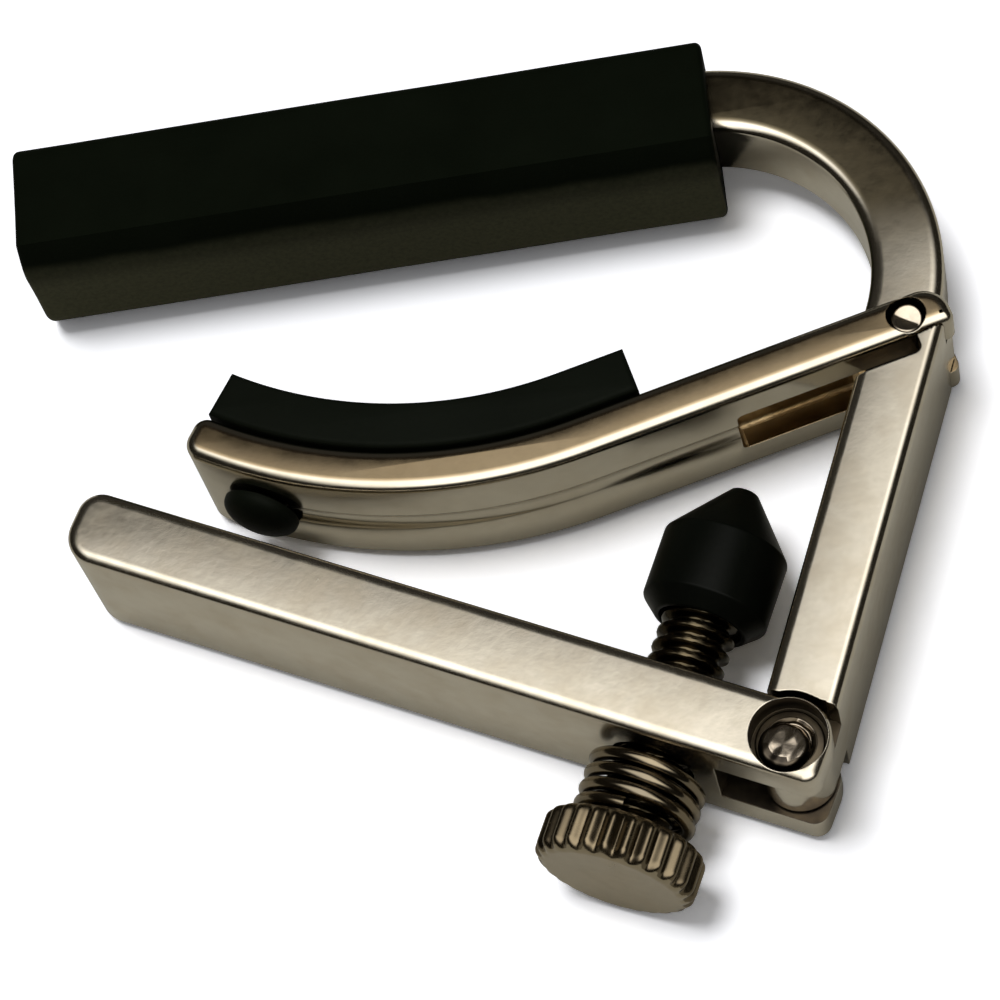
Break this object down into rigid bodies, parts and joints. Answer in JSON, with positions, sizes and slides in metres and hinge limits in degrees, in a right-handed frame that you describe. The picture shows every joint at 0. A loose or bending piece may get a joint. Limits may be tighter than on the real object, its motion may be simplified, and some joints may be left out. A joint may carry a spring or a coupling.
{
  "type": "guitar capo",
  "caption": "Over-centre lever capo with a sleeved string bar, a padded saddle arm and a thumb screw that sets the grip, lying on its side.",
  "frame": {"origin": "middle of the sleeve's flat face that presses the strings, at mid length and mid width", "axes": "+X along the straight bar towards the hook; +Y away from the strings, out through the back of the bar; +Z across the width of the bar, upwards when the capo lies on its side"},
  "size_m": [0.0732, 0.0703, 0.0128],
  "materials": {
    "satin_nickel": "satin nickel plate, lightly mottled",
    "screw_nickel": "duller nickel plate",
    "spring_steel": "bright drawn wire",
    "rivet_steel": "satin, spun ends",
    "black_rubber": "matt extruded rubber",
    "pad_rubber": "matt moulded rubber",
    "black_plastic": "satin acetal"
  },
  "bodies": {
    "frame": {"frame_bar": "satin_nickel", "string_sleeve": "black_rubber"},
    "saddle": {"saddle_arm": "satin_nickel", "saddle_pad": "pad_rubber", "saddle_pivot_pin": "rivet_steel"},
    "lever": {"lever_arm": "satin_nickel", "lever_pivot_pin": "rivet_steel", "screw_spring": "spring_steel"},
    "tip": {"screw_tip": "black_plastic"},
    "screw": {"thumb_screw": "screw_nickel"}
  },
  "joints": [
    {"name": "lever_swing", "type": "hinge", "parent": "frame", "child": "lever", "pos_m": [0.02806, -0.04967, 0], "axis": [0, 0, 1], "range_deg": [0, 85]},
    {"name": "saddle_swing", "type": "hinge", "parent": "frame", "child": "saddle", "pos_m": [0.04124, -0.01655, 0], "axis": [0, 0, 1], "range_deg": [0, 15.02]},
    {"name": "screw_advance", "type": "slide", "parent": "lever", "child": "tip", "axis": [0.4099, 0.9121, 0], "range_m": [0, 0.00127], "deforming": ["screw_spring"]},
    {"name": "screw_turn", "type": "hinge", "parent": "tip", "child": "screw", "pos_m": [0.01881, -0.04502, 0], "axis": [0.4099, 0.9121, 0], "range_deg": [0, 360]}
  ],
  "couplings": [
    {"joint": "saddle_swing", "follows": "lever_swing", "ratio": 0.1765},
    {"joint": "screw_turn", "follows": "screw_advance", "rad_per_m": 4947.4}
  ]
}
